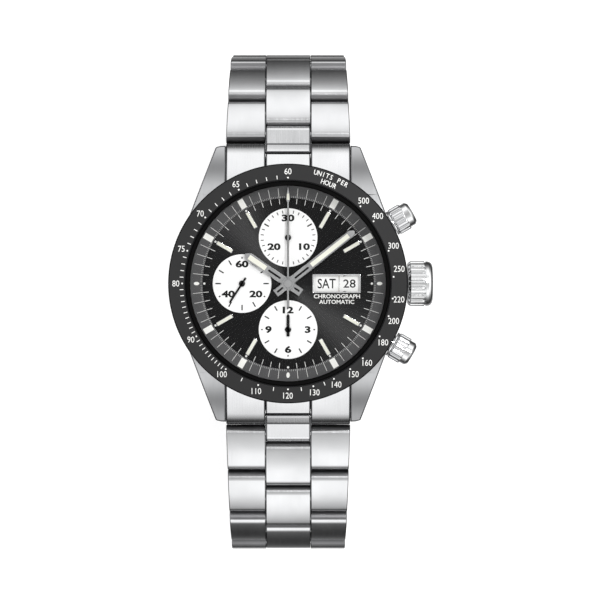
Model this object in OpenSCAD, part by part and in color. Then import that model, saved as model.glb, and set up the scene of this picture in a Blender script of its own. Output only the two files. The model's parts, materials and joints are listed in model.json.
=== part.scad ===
// Chronograph wristwatch on a three-row steel bracelet with a tri-fold clasp.
// The dial faces +Z, 12 o'clock is +Y and the crown is on +X.
// The origin is the centre of the outer face of the case back.

/* [Case] */
// Outer diameter of the bezel
bezel_d = 42; // [41.8:0.1:42.2]
// Diameter of the case band
case_d = 40.8; // [40.6:0.1:40.8]
// Height of the case middle above the wrist face
case_top = 9.6; // [9.58:0.01:9.6]
// Distance between the lugs
lug_gap = 22.1; // [22.1:0.05:22.2]
// Height of the crown and pusher axes
control_z = 5.6; // [5.55:0.05:5.65]
// Angle of each pusher from the crown
pusher_angle = 30; // [28:1:32]
// Radius of the fluted crown
crown_r = 4; // [3.6:0.1:4]
// Radius of the screw-down pusher collars
collar_r = 2.45; // [2.42:0.01:2.6]

/* [Dial] */
// Distance from the centre to each sub-dial
subdial_offset = 8.1; // [8:0.05:8.2]
// Radius of a sub-dial
subdial_r = 5.2; // [5:0.1:5.3]
// Clock time shown, in minutes past 12
shown_time = 608.6; // [0:0.1:719]
// Seconds shown by the running seconds hand
shown_seconds = 35.5; // [0:0.5:59.5]
// Number of hours on the dial
hour_count = 12; // [12]

/* [Bracelet] */
// Distance between the hinge pins of two rows
pitch = 8.5; // [8.4:0.05:8.55]
// Half the thickness of a link
link_t = 1.4; // [1.35:0.05:1.4]
// Width of the bracelet at the lugs
width_lug = 22; // [21.8:0.1:22]
// Width of the bracelet at the clasp
width_clasp = 18; // [17.8:0.1:18.4]
// Width of the centre links
centre_w = 8; // [7.6:0.1:8]
// Radius of the link pins
pin_r = 0.5; // [0.4:0.05:0.55]
// Slope below the horizontal of each row on the 12 o'clock side
slopes_12 = [30, 50, 80, 104, 126, 141, 152];
// Slope below the horizontal of each row on the 6 o'clock side
slopes_6 = [16, 29, 57, 88, 112, 130, 143, 152];

/* [Clasp] */
// Radius of the clasp's arc through its end pins
clasp_r = 57.5; // [57:0.5:58]
// Thickness of the clasp cover
cover_t = 0.9; // [0.8:0.05:0.9]
// Thickness of the two folding blades
blade_t = 0.8; // [0.7:0.05:0.8]

/* [Hidden] */
$fn = 64;

steel = "#c9ccd0";
bright_steel = "#dfe2e5";
black = "#1b1c1e";
charcoal = "#2c2d30";
brass = "#c2a05a";
rubber = "#141414";
white = "#f2f2ee";

// Fits: radial clearance of a running pin, and the gap left round a fixed one
run = 0.04;
fit = 0.02;

// Heights of the stack
back_t = 1.2;
case_bottom = back_t + fit;
plate_z0 = 6.3;
plate_z1 = 7.2;
disc_z0 = 7.42;
disc_z1 = 7.52;
dial_z0 = 7.6;
dial_z1 = 8;
flange_top = 9.85;
flange_lip = 9.25;
crystal_z0 = 9.95;
crystal_edge = 12.8;
crystal_top = 13.5;

// Radii of the head
case_r = case_d / 2;
bezel_r = bezel_d / 2;
bore_r = 16.6;
seat_r = 17.95;
back_r = 18.5;
crystal_r = 17.1;
dial_r = 16.5;
lug_x0 = lug_gap / 2;
lug_arc_r = 32.4;
lug_arc_c = [6, -22.4];
lug_tip = [12.8, 24.2];
lug_inner_y = 24.6;

// Arbors of the train, in plan
barrel_pos = [-3.5, 8.6];
escape_pos = [-5.6, -6.6];
balance_pos = [4.6, -8];
fourth_pos = [-subdial_offset, 0];

// Bracelet geometry: each row runs from its own hinge pin to the next row's
half_pitch = pitch / 2;
gap = 0.25;
side_gap = 0.05;
corner_r = 1.1;
end_reach = (half_pitch - gap) / 2 - 0.625;
far_reach = half_pitch - gap - end_reach;
bar_pos = [22.5, 2.4];
bar_r = 0.75;
bar_tip_r = 0.45;
bar_len = 24.4;
end_slope = 16;
h0 = bar_pos + half_pitch * [cos(end_slope), -sin(end_slope)];
rows_12 = len(slopes_12);
rows_6 = len(slopes_6);

function dir(slope) = [cos(slope), -sin(slope)];
function hinge(slopes, n) = n == 0 ? h0 : hinge(slopes, n - 1) + pitch * dir(slopes[n - 1]);
function arc(c, r, a0, a1, n) = [for (i = [0:n]) c + r * [cos(a0 + (a1 - a0) * i / n),
                                                           sin(a0 + (a1 - a0) * i / n)]];

// Clasp geometry, in the Y-Z plane: the cover's pin at the 12 side, the blade's at the 6 side
pin_a = hinge(slopes_12, rows_12);
end_6 = hinge(slopes_6, rows_6);
pin_b = [-end_6[0], end_6[1]];
chord = norm(pin_a - pin_b);
chord_tilt = atan2(pin_a[1] - pin_b[1], pin_a[0] - pin_b[0]);
clasp_half = asin(chord / 2 / clasp_r);
clasp_c = (pin_a + pin_b) / 2 + clasp_r * cos(clasp_half) * [-sin(chord_tilt), cos(chord_tilt)];
deg_per_mm = 360 / (2 * PI * clasp_r);
// Angles round the clasp centre, from straight down, positive towards 12 o'clock
ang_a = clasp_half + chord_tilt;
ang_b = -clasp_half + chord_tilt;
ang_h1 = ang_b + 2.8 * deg_per_mm;
ang_h2 = ang_a - 5 * deg_per_mm;
knuckle_r = 0.95;
h1_r = clasp_r + 1.05;
h2_r = clasp_r + 0.05;
cover_in = clasp_r + 1.05;
cover_out = cover_in + cover_t;
outer_blade_in = clasp_r + 0.1;
inner_blade_out = clasp_r - 0.05;
inner_blade_in = inner_blade_out - blade_t;
clasp_pin_r = 0.4;
clasp_w = width_clasp / 2;
wall_t = 0.9;
button_ang = chord_tilt;

// Basic shapes

// Puts children in the Y-Z plane and extrudes them across X, centred
module across(w) {
    translate([-w / 2, 0, 0]) rotate([90, 0, 90]) linear_extrude(w) children();
}

// Cylinder along X through a point of the Y-Z plane
module x_pin(p, r, w) {
    across(w) translate(p) circle(r);
}

// Cylinder along a radius of the case, from r0 to r1, at angle a
module radial(a, r0, r1, r) {
    rotate([0, 0, a]) translate([r0, 0, control_z]) rotate([0, 90, 0]) cylinder(h = r1 - r0, r = r);
}

// Ring about Z
module ring(ro, ri, z0, z1) {
    rotate_extrude() translate([ri, z0]) square([ro - ri, z1 - z0]);
}

module disc(r, z0, z1) {
    translate([0, 0, z0]) cylinder(h = z1 - z0, r = r);
}

// Block from x0, y0 to x1, y1
module block(x0, x1, y0, y1, z0, z1) {
    translate([x0, y0, z0]) cube([x1 - x0, y1 - y0, z1 - z0]);
}

// Runs its children at a place of the dial given by a clock angle
module at_clock(clock, r) {
    rotate([0, 0, -clock]) translate([0, r, 0]) children();
}

// Mirrors its children about the Y axis as well
module both_sides() {
    children();
    mirror([1, 0, 0]) children();
}

// Spur wheel with straight teeth
module toothed(r, teeth, z0, z1, bore) {
    difference() {
        translate([0, 0, z0]) linear_extrude(z1 - z0) polygon([
            for (i = [0:teeth - 1], k = [0:3])
                let (a = 360 * (i + [0, 0.3, 0.5, 0.8][k]) / teeth,
                     q = k < 2 ? r : r * (1 - 1.6 / teeth))
                q * [cos(a), sin(a)]
        ]);
        disc(bore, z0 - 1, z1 + 1);
    }
}

// Case

// Points followed by their mirror images across the first axis (0) or the second (1), in order
function with_mirror(pts, axis) = concat(pts, [
    for (i = [len(pts) - 1:-1:0]) [(axis == 0 ? -1 : 1) * pts[i][0], (axis == 1 ? -1 : 1) * pts[i][1]]
]);

module case_plan() {
    t = atan2(lug_tip[1], lug_tip[0]) - acos(case_r / norm(lug_tip));
    lug = [case_r * [cos(t), sin(t)], lug_tip, [lug_x0, lug_inner_y]];
    circle(case_r);
    polygon(with_mirror(with_mirror(lug, 0), 1));
}

module case_side() {
    reach = asin((24.4 - lug_arc_c[0]) / lug_arc_r);
    polygon(with_mirror(concat(
        [[19, case_bottom], [20.4, 0.7]],
        arc([23.2, 1.8], 1.4, -85, 20, 6),
        arc(lug_arc_c, lug_arc_r, 90 - reach, 90, 16)
    ), 0));
}

module case_middle() {
    color(steel) difference() {
        intersection() {
            translate([0, 0, -1]) linear_extrude(case_top + 1) case_plan();
            across(60) case_side();
        }
        disc(bore_r, 0, 11);
        disc(seat_r, 8.9, 11);
        disc(17.15, 0, 3.1);
        ring(18.2, 17.1, 0, 1.9);
        for (s = [-1, 1]) difference() {
            block(-lug_x0, lug_x0, s > 0 ? 10 : -30, s > 0 ? 30 : -10, -2, 12);
            disc(19.2, -3, 13);
        }
        radial(0, 12, 24, 1.52);
        for (a = [-pusher_angle, pusher_angle]) radial(a, 12, 24, 1.52);
        for (s = [-1, 1]) x_pin([s * bar_pos[0], bar_pos[1]], bar_tip_r + 0.05, bar_len + 0.4);
    }
}

module case_back() {
    color(steel) difference() {
        union() {
            disc(back_r, 0, back_t);
            ring(17.1, 16, 0.6, 3);
        }
        for (i = [0:5]) rotate([0, 0, 60 * i]) block(16.9, 19, -1.1, 1.1, -1, 0.6);
    }
}

module case_back_gasket() {
    color(rubber) ring(18.15, 17.25, back_t + fit, 1.88);
}

module bezel_ring() {
    color(charcoal) rotate_extrude() polygon([
        [seat_r, case_top + fit], [bezel_r - 0.5, case_top + fit], [bezel_r, 10.1],
        [bezel_r, 11.3], [bezel_r - 0.08, 11.4], [bezel_r - 0.13, 10.98],
        [18.1, 11.98], [18.1, 12.5], [seat_r, 12.5]
    ]);
}

module bezel_insert() {
    color(black) rotate_extrude() polygon([
        [18.13, 12.02], [bezel_r - 0.16, 11.03], [bezel_r - 0.16, 11.4], [18.13, 12.55]
    ]);
}

module crystal() {
    dome_r = (pow(crystal_r - 0.3, 2) + pow(crystal_top - crystal_edge, 2))
        / (2 * (crystal_top - crystal_edge));
    color("#e8f0f4", 0.35) rotate_extrude() polygon(concat(
        [[0, crystal_z0], [crystal_r, crystal_z0], [crystal_r, crystal_edge - 0.3]],
        [for (i = [0:8]) let (r = (crystal_r - 0.3) * (1 - i / 8))
            [r, crystal_top - dome_r + sqrt(dome_r * dome_r - r * r)]]
    ));
}

module crystal_gasket() {
    color(rubber) ring(17.9, crystal_r + 0.03, flange_top + 0.05, 12.4);
}

module flange_ring() {
    color(charcoal) rotate_extrude() polygon([
        [15.05, dial_z1 + 0.05], [16.5, dial_z1 + 0.05], [16.5, 8.95], [17.85, 8.95],
        [17.85, flange_top], [17.2, flange_top], [17.2, flange_lip], [17.05, flange_lip]
    ]);
}

// Dial side

module dial() {
    color(charcoal) difference() {
        disc(dial_r, dial_z0, dial_z1);
        disc(1, 7, 9);
        for (c = [0, 180, 270]) at_clock(c, subdial_offset) {
            disc(subdial_r, dial_z1 - 0.1, 9);
            disc(0.3, 7, 9);
        }
        block(4.5, 12.6, -1.45, 1.45, 7, 9);
    }
}

module hour_markers() {
    color(bright_steel) for (h = [0:hour_count - 1]) if (h % 3 != 0)
        at_clock(360 / hour_count * h, 11.3) block(-0.35, 0.35, 0, 3.2, dial_z1 + fit, 8.35);
}

module date_window_frame() {
    color(bright_steel) difference() {
        block(4.3, 12.8, -1.65, 1.65, dial_z1 + fit, 8.2);
        block(4.55, 9, -1.42, 1.42, 7, 9);
        block(9.12, 12.55, -1.42, 1.42, 7, 9);
    }
}

module day_disc() {
    color(white) ring(9.02, 1.05, disc_z0, disc_z1);
}

module date_disc() {
    color(white) ring(14.6, 9.1, disc_z0, disc_z1);
}

// Baton hand pointing at a clock angle: tail and hub on a tube that carries it
module hand(clock, reach, w, tail, hub, z0, z1, tube_r, bore, tube_z) {
    difference() {
        union() {
            rotate([0, 0, -clock]) translate([0, 0, z0]) linear_extrude(z1 - z0) polygon([
                [-w / 2, -tail], [w / 2, -tail], [w / 2, reach - w / 2], [w / 6, reach],
                [-w / 6, reach], [-w / 2, reach - w / 2]
            ]);
            disc(hub, z0, z1);
            disc(tube_r, tube_z, z1);
        }
        if (bore > 0) disc(bore, tube_z - 1, z1 + 1);
    }
}

module hour_hand() {
    color(bright_steel) hand(shown_time / 2, 9.16, 1.5, 2.8, 1.3, 8.55, 8.8, 0.94, 0.6, 7.3);
}

module minute_hand() {
    color(bright_steel)
        hand(shown_time % 60 * 6, 14.85, 1.4, 2.8, 1.1, 8.95, 9.15, 0.56, 0.24, 6.5);
}

module chrono_seconds_hand() {
    color(bright_steel) {
        disc(0.75, 9.3, 9.6);
        disc(0.2, 6.5, 9.4);
        translate([0, 0, 9.35]) linear_extrude(0.15) polygon([
            [-0.3, -4.2], [0.3, -4.2], [0.2, 0], [0.17, 14.4], [0.35, 14.7], [0.35, 16.2],
            [0.1, 17], [-0.1, 17], [-0.35, 16.2], [-0.35, 14.7], [-0.17, 14.4], [-0.2, 0]
        ]);
    }
}

// Small hand of a sub-dial with its own arbor in the dial
module small_hand(place, clock, reach, w) {
    color(black) at_clock(place, subdial_offset) rotate([0, 0, place])
        hand(clock, reach, w, 1.2, 0.55, 8.15, 8.3, 0.26, 0, dial_z0);
}

module running_seconds_hand() {
    small_hand(270, shown_seconds * 6, 4.07, 0.4);
}

module minute_counter_hand() {
    small_hand(0, 0, 4.4, 0.4);
}

module hour_counter_hand() {
    small_hand(180, 0, 2.75, 0.55);
}

// Movement

module train_holes(r, z0, z1) {
    for (p = [barrel_pos, escape_pos, balance_pos, fourth_pos])
        translate([p[0], p[1], 0]) disc(r, z0, z1);
}

module main_plate() {
    color(brass) difference() {
        disc(14.9, plate_z0, plate_z1);
        disc(0.6, 5, 8);
        train_holes(0.24, 5, 8);
    }
}

module movement_holder() {
    color("#9a9da1") difference() {
        ring(16.5, 15, 3.2, 7.5);
        for (a = [0, -pusher_angle, pusher_angle]) radial(a, 12, 18, 1.55);
    }
}

module train_bridge() {
    color("#b9bcc0") difference() {
        union() {
            difference() {
                disc(14.6, 2.95, 4);
                block(9, 16, -4, 4, 2, 5);
            }
            disc(0.8, 1.5, 3);
            for (a = [45, 135, 225, 315]) rotate([0, 0, a]) translate([13.4, 0, 0])
                disc(0.9, 3.5, plate_z0 - fit);
        }
        train_holes(0.24, 3.2, 5);
    }
}

module arbor(p, r) {
    translate([p[0], p[1], 0]) {
        disc(0.2, 3.3, plate_z1 - 0.1);
        disc(r, 4.15, plate_z0 - 0.15);
    }
}

module mainspring_barrel() {
    color(brass) {
        arbor(barrel_pos, 0.8);
        translate([barrel_pos[0], barrel_pos[1], 0]) toothed(4.6, 60, 4.3, 5.9, 0.7);
    }
}

module fourth_wheel() {
    color(brass) {
        arbor(fourth_pos, 0.45);
        translate([fourth_pos[0], fourth_pos[1], 0]) {
            ring(2.9, 2.3, 4.5, 4.75);
            for (a = [0:90:270]) rotate([0, 0, a]) block(0, 2.6, -0.2, 0.2, 4.5, 4.75);
            toothed(3.2, 48, 4.5, 4.75, 2.6);
        }
    }
}

module escape_wheel() {
    color(steel) {
        arbor(escape_pos, 0.35);
        translate([escape_pos[0], escape_pos[1], 0]) toothed(1.9, 20, 5.2, 5.4, 0.3);
    }
}

module balance_wheel() {
    color(brass) {
        arbor(balance_pos, 0.35);
        translate([balance_pos[0], balance_pos[1], 0]) {
            ring(3.6, 3.1, 4.8, 5.2);
            for (a = [0:120:240]) rotate([0, 0, a]) block(0, 3.3, -0.18, 0.18, 4.85, 5.1);
        }
    }
}

module rotor() {
    color("#b0b3b7") difference() {
        union() {
            disc(2, 1.55, 2.3);
            difference() {
                union() {
                    disc(14.5, 1.55, 2);
                    ring(14.5, 12.3, 1.55, 2.75);
                }
                block(-16, 16, 0, 16, 0, 4);
            }
        }
        disc(0.8 + run, 0, 4);
    }
}

// Crown and keyless works

module setting_lever() {
    color(steel) difference() {
        union() {
            block(13.22, 13.5, -1, 1, 4.6, plate_z0 - 0.2);
            block(12.3, 13.5, 0.75, 1, 4.6, plate_z0 - 0.2);
        }
        radial(0, 12, 15, 0.38 + run);
        block(12, 15, -0.42, 0.42, 4, control_z);
    }
}

module stem() {
    color(steel) difference() {
        radial(0, 12, 24.4, 0.56);
        difference() {
            radial(0, 13.16, 13.56, 0.8);
            radial(0, 13, 14, 0.38);
        }
    }
}

module crown() {
    flutes = 18;
    color(bright_steel) translate([0, 0, control_z]) rotate([0, 90, 0]) difference() {
        rotate_extrude() polygon([
            [0, 21.05], [crown_r - 0.45, 21.05], [crown_r, 21.5], [crown_r, 24.35],
            [crown_r - 0.95, 25.25], [crown_r - 1.3, 25.4], [0, 25.55]
        ]);
        for (i = [0:flutes - 1]) rotate([0, 0, 360 / flutes * (i + 0.5)])
            translate([crown_r + 0.28, 0, 20]) cylinder(h = 4.6, r = 0.5);
        translate([0, 0, 20]) cylinder(h = 2.6, r = 1.5 + run);
        translate([0, 0, 20]) cylinder(h = 4.42, r = 0.56 + fit);
    }
}

module crown_tube() {
    color(steel) difference() {
        radial(0, 15.2, 22.4, 1.5);
        radial(0, 12, 24, 0.6);
    }
}

// Pushers

module pusher_tubes() {
    color(steel) for (a = [-pusher_angle, pusher_angle]) difference() {
        union() {
            radial(a, 16.8, 21.95, 1.5);
            radial(a, 21.2, 21.5, 2.3);
        }
        radial(a, 14, 23, 0.84);
        radial(a, 19.5, 23, 1.22);
    }
}

module pusher(a) {
    color(bright_steel) {
        radial(a, 16.1, 19.45, 0.8);
        radial(a, 19.4, 23.1, 0.5);
        rotate([0, 0, a]) translate([0, 0, control_z]) rotate([0, 90, 0])
            rotate_extrude() polygon([
                [0, 23], [2.15, 23], [2.15, 24.85], [1.75, 25.25], [0, 25.35]
            ]);
    }
}

module pusher_start() {
    pusher(pusher_angle);
}

module pusher_reset() {
    pusher(-pusher_angle);
}

module lock_collar(a) {
    flutes = 14;
    color(steel) rotate([0, 0, a]) translate([0, 0, control_z]) rotate([0, 90, 0]) difference() {
        rotate_extrude() polygon([
            [1.5 + run, 21.55], [collar_r - 0.25, 21.55], [collar_r, 21.8],
            [collar_r, 23.7], [collar_r - 0.1, 23.85], [2.21, 23.85], [2.21, 21.9],
            [1.5 + run, 21.9]
        ]);
        for (i = [0:flutes - 1]) rotate([0, 0, 360 / flutes * (i + 0.5)])
            translate([collar_r + 0.22, 0, 21]) cylinder(h = 3.2, r = 0.36);
    }
}

module lock_collar_start() {
    lock_collar(pusher_angle);
}

module lock_collar_reset() {
    lock_collar(-pusher_angle);
}

module pusher_springs() {
    color(steel) for (a = [-pusher_angle, pusher_angle], k = [0:3])
        rotate([0, 0, a]) translate([19.75 + 0.55 * k, 0, control_z]) rotate([0, 90, 0])
            rotate_extrude() translate([0.88, 0]) circle(0.18, $fn = 24);
}

// Bracelet

// Side outline of a link: from x0 to x1 along its row, with rounded corners
module link_side(x0, x1) {
    translate([x0 + corner_r, -link_t]) square([x1 - x0 - 2 * corner_r, 2 * link_t]);
    translate([x0, -link_t + corner_r]) square([x1 - x0, 2 * (link_t - corner_r)]);
    for (x = [x0 + corner_r, x1 - corner_r], s = [-1, 1])
        translate([x, s * (link_t - corner_r)]) circle(corner_r);
}

// Half width of the bracelet after so many rows out of n
function half_width(k, n) = (width_lug + (width_clasp - width_lug) * k / n) / 2;

// One row in its own place: +Y along the row, hinge pin at the origin, +Z outward
module row(k, n) {
    w0 = half_width(k, n);
    w1 = half_width(k + 1, n);
    bore_w = 2 * w0 + 4;
    color(steel) both_sides() difference() {
        intersection() {
            across(2 * w0 + 2) link_side(-end_reach, half_pitch + far_reach);
            translate([0, 0, -5]) linear_extrude(10) polygon([
                [centre_w / 2 + side_gap, -5], [w0 + 5 * (w0 - w1) / pitch, -5],
                [w1, pitch], [centre_w / 2 + side_gap, pitch]
            ]);
        }
        x_pin([0, 0], pin_r + run, bore_w);
        x_pin([half_pitch, 0], pin_r + fit, bore_w);
    }
    color(bright_steel) difference() {
        across(centre_w) link_side(half_pitch - far_reach, pitch + end_reach);
        x_pin([half_pitch, 0], pin_r + fit, bore_w);
        x_pin([pitch, 0], pin_r + fit, bore_w);
    }
    color(steel) {
        x_pin([half_pitch, 0], pin_r, 2 * half_width(k + 0.5, n) - 0.5);
        last = k == n - 1;
        x_pin([pitch, 0], pin_r, last && n == rows_6 ? centre_w : 2 * w1 - (last ? 0.2 : 0.5));
    }
}

// Puts a row of either strand where it belongs
module place_row(slopes, k) {
    p = hinge(slopes, k);
    translate([0, p[0], p[1]]) rotate([-slopes[k], 0, 0]) children();
}

module row_12(k) {
    place_row(slopes_12, k) row(k, rows_12);
}

module row_6(k) {
    mirror([0, 1, 0]) place_row(slopes_6, k) row(k, rows_6);
}

// End link on the 12 o'clock side: wings and centre in one piece, with a hinge tongue
module end_link() {
    top_r = lug_arc_r - 0.4;
    wing_end = h0[0] - 1.6;
    top_y = function (y) lug_arc_c[1] + sqrt(top_r * top_r - pow(y - lug_arc_c[0], 2));
    color(steel) difference() {
        union() {
            across(width_lug) polygon(concat(
                [[17, 1.3], [21, 1], [wing_end - 0.4, 0.2], [wing_end, 0.6],
                 [wing_end, top_y(wing_end) - 0.9]],
                [for (i = [0:12]) let (y = wing_end - 0.35 - (wing_end - 15.35) * i / 12)
                    [y, top_y(y) - (i == 0 ? 0.12 : 0)]],
                [[14, 8], [14, 5], [17, 5]]
            ));
            translate([0, h0[0], h0[1]]) rotate([-end_slope, 0, 0])
                across(centre_w) link_side(-5, end_reach);
        }
        disc(19.25, -2, 12);
        x_pin(bar_pos, bar_r + fit, 60);
        x_pin(h0, pin_r + fit, 60);
        for (s = [-1, 1]) translate([s * centre_w / 2, 0, 0]) {
            block(-0.05, 0.05, 15, 30, h0[1] + 0.6, 12);
            block(-0.05, 0.05, 23.2, 30, -3, 12);
        }
        translate([0, 23.2, top_y(23.2)]) rotate([-40, 0, 0])
            block(-centre_w / 2, centre_w / 2, -0.12, 0.12, -0.6, 2);
    }
    color(steel) x_pin(h0, pin_r, 2 * half_width(0, rows_12) - 0.5);
}

module end_link_12() {
    end_link();
}

module end_link_6() {
    mirror([0, 1, 0]) end_link();
}

module lug_spring_bars() {
    color(steel) for (s = [-1, 1]) {
        x_pin([s * bar_pos[0], bar_pos[1]], bar_r, width_lug - 0.4);
        x_pin([s * bar_pos[0], bar_pos[1]], bar_tip_r, bar_len);
    }
}

// Clasp

// Point on a circle of radius r about the clasp's centre
function clasp_at(r, a) = clasp_c + r * [sin(a), -cos(a)];

// Curved band of the clasp between two radii and two angles
module band(ri, ro, a0, a1) {
    reach = 1.2 * ro;
    translate(clasp_c) intersection() {
        difference() {
            circle(ro, $fn = 256);
            circle(ri, $fn = 256);
        }
        polygon([[0, 0], reach * [sin(a0), -cos(a0)], reach * [sin(a1), -cos(a1)]]);
    }
}

module clasp_cover() {
    h1 = clasp_at(h1_r, ang_h1);
    mid_w = 10.8;
    ang_end = ang_a - 1.2 * deg_per_mm;
    color(bright_steel) difference() {
        union() {
            across(width_clasp) band(cover_in, cover_out, ang_h1, ang_end);
            both_sides() translate([clasp_w - wall_t / 2, 0, 0]) across(wall_t)
                band(inner_blade_in, cover_out, ang_h1 + 1.5 * deg_per_mm, ang_end);
            across(width_clasp) band(clasp_r - link_t, cover_out, ang_end - deg_per_mm, ang_end);
            across(width_clasp) band(clasp_r - link_t, clasp_r + link_t, ang_end, ang_a);
            x_pin(pin_a, link_t, width_clasp);
            x_pin(h1, knuckle_r, width_clasp);
        }
        x_pin(pin_a, end_reach + gap, centre_w + 2 * side_gap);
        x_pin(pin_a, pin_r + run, 30);
        x_pin(h1, clasp_pin_r + fit, 30);
        x_pin(h1, knuckle_r + 0.1, mid_w + 0.2);
        both_sides() translate([clasp_w - wall_t / 2, 0, 0])
            x_pin(clasp_at(clasp_r + 0.1, button_ang), 0.75 + run, 2);
    }
    color(steel) x_pin(h1, clasp_pin_r, width_clasp - 0.6);
}

module clasp_outer_blade() {
    h1 = clasp_at(h1_r, ang_h1);
    h2 = clasp_at(h2_r, ang_h2);
    blade_w = 10.6;
    neck_w = 7.6;
    color(steel) difference() {
        union() {
            across(blade_w) band(outer_blade_in, outer_blade_in + blade_t, ang_h1,
                                 ang_h2 - 1.5 * deg_per_mm);
            across(neck_w) band(outer_blade_in, outer_blade_in + blade_t,
                                ang_h2 - 2 * deg_per_mm, ang_h2);
            x_pin(h1, knuckle_r, blade_w);
            x_pin(h2, 0.88, neck_w);
        }
        x_pin(h1, clasp_pin_r + run, 30);
        x_pin(h2, clasp_pin_r + run, 30);
        across(4.4) band(clasp_r - 1, clasp_r + 3, ang_h1 + 6 * deg_per_mm,
                         ang_h2 - 6 * deg_per_mm);
    }
}

module clasp_inner_blade() {
    h2 = clasp_at(h2_r, ang_h2);
    blade_w = 15;
    ear_in = centre_w / 2 + 0.15;
    ear_r = 0.9;
    color(steel) difference() {
        union() {
            across(blade_w) band(inner_blade_in, inner_blade_out, ang_b, ang_h2);
            x_pin(h2, 0.88, blade_w);
            x_pin(pin_b, ear_r, blade_w);
        }
        x_pin(h2, clasp_pin_r + fit, 30);
        across(7.8) translate(h2) circle(1);
        across(2 * ear_in) union() {
            translate(pin_b) circle(end_reach + 2 * gap);
            band(clasp_r - 2, clasp_r + 2, ang_b - 3, ang_b + 1.7 * deg_per_mm);
        }
        x_pin(pin_b, pin_r + 0.05, 30);
        both_sides() translate([blade_w / 2, 0, 0])
            across(2.4) band(clasp_r - 2, clasp_r + 2, button_ang - 2, button_ang + 2);
        across(5) band(clasp_r - 2, clasp_r + 2, ang_h1 + 8 * deg_per_mm,
                       ang_h2 - 8 * deg_per_mm);
    }
    color(steel) x_pin(h2, clasp_pin_r, blade_w - 0.4);
}

// Push button of the catch, on the -X side
module clasp_button() {
    p = clasp_at(clasp_r + 0.1, button_ang);
    half_long = 1.1;
    color(bright_steel) {
        translate([-clasp_w - 0.15, 0, 0]) x_pin(p, 0.75, 1.9);
        translate([-clasp_w - 1, 0, 0]) across(0.7) translate(p) {
            square([2 * half_long, 1.7], center = true);
            for (s = [-1, 1]) translate([s * half_long, 0]) circle(0.85);
        }
    }
}

module clasp_button_left() {
    clasp_button();
}

module clasp_button_right() {
    mirror([1, 0, 0]) clasp_button();
}

case_middle();
case_back();
case_back_gasket();
bezel_ring();
bezel_insert();
crystal();
crystal_gasket();
flange_ring();
dial();
hour_markers();
date_window_frame();
day_disc();
date_disc();
hour_hand();
minute_hand();
chrono_seconds_hand();
running_seconds_hand();
minute_counter_hand();
hour_counter_hand();
main_plate();
movement_holder();
mainspring_barrel();
fourth_wheel();
escape_wheel();
balance_wheel();
train_bridge();
rotor();
setting_lever();
crown();
stem();
crown_tube();
pusher_start();
pusher_reset();
lock_collar_start();
lock_collar_reset();
pusher_tubes();
pusher_springs();
end_link_12();
end_link_6();
lug_spring_bars();
row_12(0);  // link_12_1
row_12(1);  // link_12_2
row_12(2);  // link_12_3
row_12(3);  // link_12_4
row_12(4);  // link_12_5
row_12(5);  // link_12_6
row_12(6);  // link_12_7
row_6(0);  // link_6_1
row_6(1);  // link_6_2
row_6(2);  // link_6_3
row_6(3);  // link_6_4
row_6(4);  // link_6_5
row_6(5);  // link_6_6
row_6(6);  // link_6_7
row_6(7);  // link_6_8
clasp_cover();
clasp_outer_blade();
clasp_inner_blade();
clasp_button_left();
clasp_button_right();
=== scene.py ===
import json
import math

import bmesh
import bpy
import numpy as np
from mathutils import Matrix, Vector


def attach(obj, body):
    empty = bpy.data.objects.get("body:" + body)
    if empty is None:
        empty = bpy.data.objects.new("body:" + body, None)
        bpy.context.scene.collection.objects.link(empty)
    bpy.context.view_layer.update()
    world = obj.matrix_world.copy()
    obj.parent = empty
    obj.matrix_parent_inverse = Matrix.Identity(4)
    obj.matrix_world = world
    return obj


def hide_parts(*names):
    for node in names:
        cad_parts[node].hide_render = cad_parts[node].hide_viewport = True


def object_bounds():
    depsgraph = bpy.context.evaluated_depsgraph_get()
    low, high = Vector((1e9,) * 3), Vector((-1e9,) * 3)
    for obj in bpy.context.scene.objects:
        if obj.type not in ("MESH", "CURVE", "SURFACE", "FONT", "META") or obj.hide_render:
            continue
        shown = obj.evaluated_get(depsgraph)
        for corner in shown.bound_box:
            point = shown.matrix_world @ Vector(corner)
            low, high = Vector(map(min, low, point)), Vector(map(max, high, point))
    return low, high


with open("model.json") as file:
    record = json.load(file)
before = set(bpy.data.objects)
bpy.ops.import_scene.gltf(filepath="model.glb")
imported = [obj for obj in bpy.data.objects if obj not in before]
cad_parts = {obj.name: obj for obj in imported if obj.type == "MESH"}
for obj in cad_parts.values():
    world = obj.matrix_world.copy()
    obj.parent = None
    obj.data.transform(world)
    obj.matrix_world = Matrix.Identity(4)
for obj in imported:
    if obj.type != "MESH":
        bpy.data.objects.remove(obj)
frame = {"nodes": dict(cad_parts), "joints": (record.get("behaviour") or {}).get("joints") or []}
cad_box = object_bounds()
node = frame["nodes"]

# Case middle
# One block of stainless steel with four lugs, milled, then brushed lengthwise by hand. Its edges are
# eased and polished, which is what catches the light round the lugs.
MM = 0.001
STEEL = (0.70, 0.705, 0.715)
BRIGHT_STEEL = (0.80, 0.805, 0.81)
LENGTHWISE = (7000, 220, 220)
EDGE_SLOT = 1
FLANK_SLOT = 2
FLANK_LEAN = 0.3


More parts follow.
